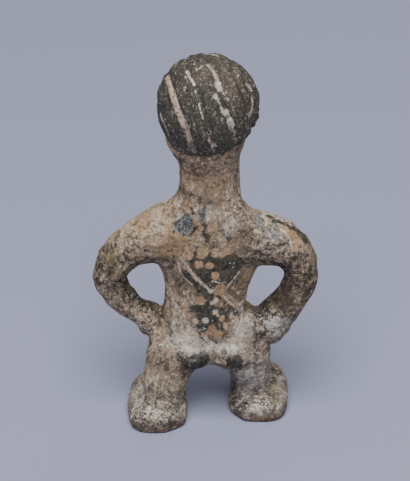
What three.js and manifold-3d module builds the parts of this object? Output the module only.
// A small standing statuette of fired clay, modelled by hand in one piece. The figure has its hands on its
// hips, a long neck, a round head with combed hair, and short thick legs, the left one set behind the right.
// Millimetres, +Z up. It faces -Y, its own left side is +X, and it stands on its soles at z = 0.
import * as THREE from "three";
import { mergeVertices } from "three/addons/utils/BufferGeometryUtils.js";
import Module from "manifold-3d";

const wasm = await Module();
wasm.setup();

// Sizes in millimetres, angles in degrees.
const FOOT = {
  length: 21.2,
  width: 13.6,
  height: 5.9, // at the instep
  edge: 1.7, // height at which the foot is widest, above its flat sole
  splay: 1.5, // outward turn of the toes
  toes: 5,
  toeGap: 1.2, // width of the notch between two toes
};
const LEG = { height: 15.6, thickness: 9.6 };
const TRUNK = { height: 38.4, hips: 24.6, waist: 18.6, chest: 24.4, depth: 13.8 };
const BUTTOCK = { width: 11, depth: 10, height: 10.4, spacing: 8.6 };
const NECK = { length: 11.8, width: 13.3, depth: 12.4, nape: 18 }; // nape is its width under the hair
const ARM = { thickness: 8 }; // at the elbow
const HAND = { width: 7.2, thickness: 4, reach: 7, curl: 5.4, fingers: 4, fingerGap: 0.9 };
const HEAD = { width: 20.4, depth: 20.4, height: 21.6, tilt: 15.5, turn: 8 }; // both towards its left
const HAIR = {
  thickness: 0.8,
  grooves: 5,
  groovePitch: 4.45, // from one groove to the next, across the head
  grooveShift: 1.4, // of the middle groove, towards the left ear
  grooveWidth: 1.5,
  grooveDepth: 0.8,
  rimSlope: 35, // the hair's edge climbs from the nape to the forehead
  rimDrop: 1.5, // from the middle of the head down to that edge
};

// The two sides differ, as hands left them. A foot is placed by its middle and its heel, counted from the
// trunk's midline. The rings of a limb are [share of the way out, share of the trunk's or leg's height,
// millimetres to the back, thickness as a share of the limb's].
const LEFT = {
  side: 1,
  footOut: 11.2,
  heelBack: 10.2,
  hipOut: 10.4,
  elbowOut: 25.6,
  leg: [
    [0.6, 1.36, -0.2, 1.28],
    [0.73, 1.06, 0.4, 1.32],
    [0.88, 0.76, 1.4, 1.14],
    [0.98, 0.46, 2.6, 1.03],
    [1.02, 0.2, 3.4, 1],
  ],
  arm: [
    [0, 0.86, 0, 1.3],
    [0.26, 0.852, 0.1, 1.54],
    [0.52, 0.782, 0.3, 1.56],
    [0.78, 0.722, 0.8, 1.2],
    [1.01, 0.575, 1, 1],
    [0.97, 0.42, 0.5, 0.9],
    [0.785, 0.302, -0.5, 0.74],
    [0.61, 0.216, -1.6, 0.88],
    [0.57, 0.12, -2.6, 0.86],
  ],
};
const RIGHT = {
  side: -1,
  footOut: 11.4,
  heelBack: 5.2,
  hipOut: 9.8,
  elbowOut: 24.2,
  leg: [
    [0.78, 1.36, -0.6, 1.22],
    [0.86, 1.06, -1, 1.2],
    [0.94, 0.76, -1.7, 1.02],
    [1, 0.46, -2.6, 0.95],
    [1.02, 0.2, -3.2, 0.95],
  ],
  arm: [
    [0, 0.84, 0, 1.3],
    [0.3, 0.8, 0.1, 1.5],
    [0.6, 0.755, 0.3, 1.5],
    [0.88, 0.718, 0.8, 1.24],
    [1.03, 0.572, 1, 0.98],
    [0.97, 0.415, 0.6, 0.98],
    [0.815, 0.296, -0.3, 1.04],
    [0.7, 0.19, -1.3, 1.14],
    [0.66, 0.08, -2.2, 0.96],
  ],
};

// Swellings and hollows of the face, as shares of the head's width, depth and height from its middle:
// [where], [how far it spreads], [how far it pushes]. Those off the midline are made on both sides.
const FACE = [
  { at: [0.13, -0.48, 0.16], spread: [0.14, 0.2, 0.035], push: [0, -0.024, 0] }, // brow
  { at: [0.17, -0.46, 0.05], spread: [0.11, 0.2, 0.07], push: [0, 0.035, 0] }, // eye socket
  { at: [0.18, -0.44, 0.035], spread: [0.075, 0.2, 0.036], push: [0, -0.045, 0] }, // eye
  { at: [0, -0.5, 0.03], spread: [0.045, 0.2, 0.12], push: [0, -0.05, 0] }, // bridge of the nose
  { at: [0, -0.5, -0.12], spread: [0.055, 0.2, 0.05], push: [0, -0.085, 0] }, // tip of the nose
  { at: [0.06, -0.5, -0.14], spread: [0.035, 0.2, 0.03], push: [0, -0.025, 0] }, // nostril
  { at: [0, -0.46, -0.275], spread: [0.11, 0.2, 0.04], push: [0, -0.035, 0] }, // lips
  { at: [0, -0.4, -0.42], spread: [0.12, 0.3, 0.07], push: [0, -0.03, 0] }, // chin
  { at: [0.24, -0.4, -0.16], spread: [0.12, 0.2, 0.1], push: [0, -0.015, 0] }, // cheek
];
const EYE = { out: 0.185, up: 0.04, width: 4, depth: 2, height: 0.7, slant: 24 };
const MOUTH = { up: -0.275, width: 4.4, depth: 2.4, height: 0.7 };
const EAR = { up: -0.17, back: -0.02, height: 5.6, depth: 3.6, thickness: 1.8 };
const NAVEL = { up: 0.27, width: 2, depth: 1.6 };

// How finely the skins are divided, around and along.
const FACETS = {
  trunk: [26, 30],
  arm: [14, 25],
  leg: [14, 10],
  hand: [14, 10],
  foot: [20, 14],
  skull: [38, 28],
  hair: 32,
  lump: [16, 10],
  slit: [8, 6],
};

// Levels up the figure, each standing on the one below.
const crotchZ = LEG.height;
const shoulderZ = crotchZ + TRUNK.height;
const chinZ = shoulderZ + NECK.length;
const headZ = chinZ + HEAD.height / 2;

const X = new THREE.Vector3(1, 0, 0);
const Y = new THREE.Vector3(0, 1, 0);
const Z = new THREE.Vector3(0, 0, 1);
const radians = THREE.MathUtils.degToRad;
const vec = (x, y, z) => new THREE.Vector3(x, y, z);
const ring = (at, wide, deep = wide) => ({ at, wide, deep });

/**
 * Stretches a sphere's grid over a row of rings. A ring has its middle and its two full thicknesses, the
 * first of them along the given direction. Bluntness squares the two ends off, squareness the section.
 */
function skin(rings, [around, along], { across = X, bluntness = 4, squareness = 2 } = {}) {
  const geometry = new THREE.SphereGeometry(1, around, along);
  const position = geometry.getAttribute("position");
  const path = new THREE.CatmullRomCurve3(rings.map(({ at }) => at));
  const shares = rings.map((_, i) => i / (rings.length - 1));
  const halves = rings.flatMap(({ wide, deep }) => [wide / 2, deep / 2]);
  const profile = new THREE.CubicInterpolant(shares, halves, 2);
  const bent = (value) => Math.sign(value) * Math.pow(Math.abs(value), 2 / squareness);
  const unit = vec(0, 0, 0);
  for (let i = 0; i < position.count; i++) {
    unit.fromBufferAttribute(position, i);
    const share = THREE.MathUtils.clamp((1 - unit.y) / 2, 0, 1);
    const angle = Math.atan2(unit.z, unit.x);
    const closing = Math.pow(1 - Math.pow(Math.abs(2 * share - 1), bluntness), 1 / bluntness);
    const [wide, deep] = profile.evaluate(share);
    const forward = path.getTangent(share);
    const right = across.clone().addScaledVector(forward, -across.dot(forward)).normalize();
    const up = forward.clone().cross(right);
    const point = path.getPoint(share);
    point.addScaledVector(right, wide * closing * bent(Math.cos(angle)));
    point.addScaledVector(up, deep * closing * bent(Math.sin(angle)));
    position.setXYZ(i, point.x, point.y, point.z);
  }
  return geometry;
}

/** Pushes a geometry's surface out or in, each push fading away from its own middle. */
function swell(geometry, swellings) {
  const position = geometry.getAttribute("position");
  const point = vec(0, 0, 0);
  const away = vec(0, 0, 0);
  for (let i = 0; i < position.count; i++) {
    point.fromBufferAttribute(position, i);
    const moved = point.clone();
    for (const { at, spread, push } of swellings) {
      away.subVectors(point, at).divide(spread);
      moved.addScaledVector(push, Math.exp(-away.lengthSq()));
    }
    position.setXYZ(i, moved.x, moved.y, moved.z);
  }
  return geometry;
}

/** An ellipsoid of the given full sizes. */
function lump(width, depth, height, [around, along] = FACETS.lump) {
  return new THREE.SphereGeometry(0.5, around, along).rotateX(Math.PI / 2).scale(width, depth, height);
}

/** A closed geometry as a solid. */
function solid(geometry) {
  geometry.deleteAttribute("normal");
  geometry.deleteAttribute("uv");
  const merged = mergeVertices(geometry, 1e-4);
  const triVerts = new Uint32Array(merged.index.array);
  const vertProperties = merged.getAttribute("position").array;
  return new wasm.Manifold(new wasm.Mesh({ numProp: 3, vertProperties, triVerts }));
}

/** A solid's faces as a geometry. */
function geometryOf(body) {
  const { vertProperties, triVerts } = body.getMesh();
  const geometry = new THREE.BufferGeometry();
  geometry.setAttribute("position", new THREE.BufferAttribute(new Float32Array(vertProperties), 3));
  geometry.setIndex(new THREE.BufferAttribute(new Uint32Array(triVerts), 1));
  return geometry;
}

const join = (pieces) => pieces.reduce((whole, piece) => whole.add(piece));
const carve = (body, tools) => tools.reduce((left, tool) => left.subtract(tool), body);

/** Pelvis, waist, chest and neck as one column that ends inside the head. */
function trunk() {
  const { height, hips, waist, chest, depth } = TRUNK;
  const level = (share, wide, deep, x = 0, y = 0) => ring(vec(x, y, crotchZ + share * height), wide, deep);
  const rings = [
    level(-0.02, hips * 0.8, depth * 0.84, -0.6),
    level(0.06, hips * 0.96, depth * 0.98, -0.5),
    level(0.15, hips, depth * 1.03, -0.3),
    level(0.26, hips * 0.885, depth),
    level(0.38, waist * 1, depth * 0.95, 0.4),
    level(0.5, waist * 1.05, depth * 0.95, 0.3),
    level(0.62, chest * 0.9, depth),
    level(0.76, chest, depth * 1.02),
    level(0.86, chest * 0.9, depth * 0.96),
    level(0.94, (chest + NECK.width) / 2, (depth + NECK.depth) / 2),
    ring(vec(-0.3, 0, shoulderZ + NECK.length * 0.12), NECK.width * 1.04, NECK.depth),
    ring(vec(-0.4, 0, shoulderZ + NECK.length * 0.42), NECK.width, NECK.depth),
    ring(vec(-0.4, 0, shoulderZ + NECK.length * 0.76), NECK.width, NECK.depth),
    ring(vec(0, 0.6, chinZ + HEAD.height * 0.02), NECK.nape * 0.77, NECK.depth * 1.04),
    ring(vec(0.2, 1.2, chinZ + HEAD.height * 0.16), NECK.nape * 0.98, NECK.depth * 1.14),
    ring(vec(0.4, 1.4, chinZ + HEAD.height * 0.36), NECK.nape, NECK.depth * 1.14),
  ];
  const breast = vec(chest * 0.2, -depth * 0.45, crotchZ + height * 0.72);
  const belly = vec(0, -depth * 0.5, crotchZ + height * 0.24);
  const breastSpread = vec(chest * 0.18, depth * 0.36, height * 0.104);
  const bellySpread = vec(hips * 0.285, depth * 0.36, height * 0.156);
  const swellings = [
    { at: breast, spread: breastSpread, push: vec(0, -depth * 0.05, 0) },
    { at: breast.clone().setX(-breast.x), spread: breastSpread, push: vec(0, -depth * 0.05, 0) },
    { at: belly, spread: bellySpread, push: vec(0, -depth * 0.065, 0) },
  ];
  const navel = lump(NAVEL.width, NAVEL.depth, NAVEL.width, FACETS.slit);
  navel.translate(0, -depth * 0.55, crotchZ + height * NAVEL.up);
  const column = skin(rings, FACETS.trunk, { bluntness: 10, squareness: 2.3 });
  return solid(swell(column, swellings)).subtract(solid(navel));
}

/** The mounds at the back of the hips, which hang a little over the legs. */
function buttocks() {
  const { width, depth, height, spacing } = BUTTOCK;
  return [-1, 1].map((side) => {
    const mound = lump(width, depth, height).rotateX(radians(-14));
    return solid(mound.translate(side * spacing * 0.5 - 0.7, TRUNK.depth * 0.18, crotchZ + height * 0.25));
  });
}

/** A thick leg from inside the hip down into the foot. */
function leg({ side, hipOut, leg: rings }) {
  const bones = rings.map(([out, up, back, girth]) => {
    return ring(vec(side * hipOut * out, back, crotchZ * up), LEG.thickness * girth);
  });
  return solid(skin(bones, FACETS.leg, { bluntness: 8 }));
}

/** A short, thick, blocky foot, rounded under its edge, with its toes parted by notches. */
function foot({ side, footOut, heelBack }) {
  const { length, width, height, edge, splay, toes, toeGap } = FOOT;
  const level = (share, wide, tall) => {
    return ring(vec(0, -share * length, edge), width * wide, (height * tall - edge) * 2);
  };
  const rings = [level(0, 0.93, 0.84), level(0.3, 1, 0.96), level(0.62, 1, 1.04), level(1, 1, 1.1)];
  const body = solid(skin(rings, FACETS.foot, { bluntness: 3.6, squareness: 2.5 }));
  const notches = Array.from({ length: toes - 1 }, (_, i) => {
    const notch = lump(toeGap, length * 0.24, height * 1.3, FACETS.slit);
    return solid(notch.translate((i + 1 - toes / 2) * (width / toes) * 0.86, -length, edge * 1.3));
  });
  const turned = new THREE.Matrix4().makeRotationZ(radians(side * splay));
  return placed(carve(body, notches), turned.setPosition(side * footOut, heelBack, 0));
}

/** The rings of an arm, from the breastbone out round the elbow and back to the hip. */
function armRings({ side, elbowOut, arm }) {
  const reach = elbowOut - ARM.thickness / 2;
  return arm.map(([out, up, back, girth]) => {
    return ring(vec(side * reach * out, back, crotchZ + TRUNK.height * up), ARM.thickness * girth);
  });
}

/** An arm bent into a loop, thick at the shoulder and thin at the wrist. */
function arm(pose) {
  return solid(skin(armRings(pose), FACETS.arm, { across: Y, bluntness: 10 }));
}

/** A hand laid on the front of the hip, its fingers parted by slits. */
function hand(pose) {
  const wrist = armRings(pose).at(-1).at;
  const { width, thickness, reach, curl, fingers, fingerGap } = HAND;
  const inward = (along, round, up) => {
    return wrist.clone().add(vec(-pose.side * reach * along, -curl * round, width * up));
  };
  const tips = inward(1, 1, 0.08);
  const rings = [
    ring(inward(-0.09, -0.19, 0.14), width * 0.84, thickness * 1.4),
    ring(inward(0.2, 0.41, 0.11), width * 0.96, thickness * 1.2),
    ring(inward(0.6, 0.81, 0.1), width, thickness),
    ring(tips, width * 0.9, thickness * 0.8),
  ];
  const palm = solid(skin(rings, FACETS.hand, { across: Z, bluntness: 3 }));
  const slits = Array.from({ length: fingers - 1 }, (_, i) => {
    const slit = lump(reach, curl, fingerGap, FACETS.slit);
    slit.translate(0, 0, (i + 1 - fingers / 2) * (width / fingers) * 0.9);
    return solid(slit.translate(tips.x, tips.y - thickness / 4, tips.z));
  });
  return carve(palm, slits);
}

/** The face's table as swellings in millimetres, mirrored where they lie off the midline. */
function features() {
  const size = vec(HEAD.width, HEAD.depth, HEAD.height);
  const scaled = (shares) => vec(...shares).multiply(size);
  const mirror = vec(-1, 1, 1);
  return FACE.flatMap(({ at, spread, push }) => {
    const one = { at: scaled(at), spread: scaled(spread), push: scaled(push) };
    const other = { ...one, at: one.at.clone().multiply(mirror) };
    return at[0] ? [one, other] : [one];
  });
}

/** Skull, jaw and face. */
function skull() {
  const { width, depth, height } = HEAD;
  const level = (share, wide, deep, y) => ring(vec(0, y, height * share), width * wide, depth * deep);
  const rings = [
    level(-0.5, 0.7, 0.78, -0.6),
    level(-0.3, 0.84, 0.92, -0.4),
    level(-0.1, 0.98, 0.98, 0),
    level(0.1, 1, 1, 0),
    level(0.3, 1, 1, 0),
    level(0.5, 0.98, 0.98, 0),
  ];
  return solid(swell(skin(rings, FACETS.skull, { bluntness: 2.2 }), features()));
}

/** Lids, lips and ears: pellets laid on the head and slits cut in it. */
function details() {
  const { width, depth, height } = HEAD;
  const added = [];
  const mouth = lump(MOUTH.width, MOUTH.depth, MOUTH.height, FACETS.slit);
  const cut = [mouth.translate(0, -depth * 0.5, height * MOUTH.up)];
  for (const side of [-1, 1]) {
    const lid = lump(EYE.width, EYE.depth, EYE.height, FACETS.slit).rotateZ(radians(side * EYE.slant));
    cut.push(lid.translate(side * width * EYE.out, -depth * 0.5, height * EYE.up));
    const ear = lump(EAR.thickness, EAR.depth, EAR.height).rotateX(radians(12));
    added.push(ear.translate(side * width * 0.45, depth * EAR.back, height * EAR.up));
    const hollow = lump(1.4, EAR.depth * 0.45, EAR.height * 0.5, FACETS.slit);
    cut.push(hollow.translate(side * (width * 0.45 + EAR.thickness / 2), depth * EAR.back, height * EAR.up));
  }
  return { added: added.map(solid), cut: cut.map(solid) };
}

/** Where the hair's grooves lie across the head. */
function grooveLines() {
  const { grooves, groovePitch, grooveShift } = HAIR;
  return Array.from({ length: grooves }, (_, i) => (i - (grooves - 1) / 2) * groovePitch + grooveShift);
}

/** The hair's radius at a place across the head, as a share of the ball's, less what the grooves take. */
function hairRadius(x, wide, high) {
  const ball = Math.sqrt(Math.max(0, 1 - (x / wide) ** 2));
  const taken = grooveLines().map((line) => Math.max(0, 1 - (2 * Math.abs(x - line)) / HAIR.grooveWidth));
  return ball * (1 - (Math.max(...taken) * HAIR.grooveDepth) / high);
}

/** A ball of hair, turned about the line through the ears so that its grooves run from brow to nape. */
function hair() {
  const [wide, deep, high] = [HEAD.width, HEAD.depth, HEAD.height].map((size) => size / 2 + HAIR.thickness);
  const lines = grooveLines();
  const banks = lines.flatMap((line) => [-0.5, 0, 0.5].map((step) => line + step * HAIR.grooveWidth));
  const steps = 18;
  const evenly = Array.from({ length: steps + 1 }, (_, i) => -wide * Math.cos((i / steps) * Math.PI));
  const between = evenly.filter((x) => lines.every((line) => Math.abs(x - line) > HAIR.grooveWidth * 0.7));
  const places = [...new Set([-wide, wide, ...banks.filter((x) => Math.abs(x) < wide), ...between])];
  const outline = places.sort((a, b) => a - b).map((x) => new THREE.Vector2(hairRadius(x, wide, high), x));
  const ball = new THREE.LatheGeometry(outline, FACETS.hair);
  return solid(ball.rotateZ(-Math.PI / 2).scale(1, deep, high));
}

/** Everything below the hair's edge, for cutting the ball of hair back to a cap. */
function belowTheRim() {
  const size = HEAD.height * 3;
  const block = new THREE.BoxGeometry(size, size, size).translate(0, 0, -size / 2 - HAIR.rimDrop);
  return solid(block.rotateX(radians(-HAIR.rimSlope)));
}

/** The whole head, leaned to one side on the neck. */
function head() {
  const { added, cut } = details();
  const bare = carve(join([skull(), ...added]), cut);
  const whole = bare.add(hair().subtract(belowTheRim()));
  const pose = new THREE.Euler(0, radians(HEAD.tilt), radians(HEAD.turn), "ZYX");
  return placed(whole, new THREE.Matrix4().makeRotationFromEuler(pose).setPosition(0, 0, headZ));
}

/** A solid moved by a matrix. */
function placed(body, matrix) {
  return solid(geometryOf(body).applyMatrix4(matrix));
}

/** Everything under the ground, which flattens the soles. */
function ground() {
  const size = headZ * 2;
  return solid(new THREE.BoxGeometry(size, size, size).translate(0, 0, -size / 2));
}

const limbs = [LEFT, RIGHT].flatMap((pose) => [leg(pose), foot(pose), arm(pose), hand(pose)]);
const figure = join([trunk(), ...buttocks(), ...limbs, head()]).subtract(ground());

// The origin is on the ground, under the middle of the figure's box.
const form = geometryOf(figure);
form.computeBoundingBox();
const middle = form.boundingBox.getCenter(vec(0, 0, 0));
form.translate(-middle.x, -middle.y, 0);

const clay = new THREE.MeshStandardMaterial({ color: 0xa08c78, roughness: 0.9, metalness: 0 });
const statuette = new THREE.Mesh(form, clay);
statuette.name = "statuette";

const part = new THREE.Group();
part.add(statuette);
export default part;
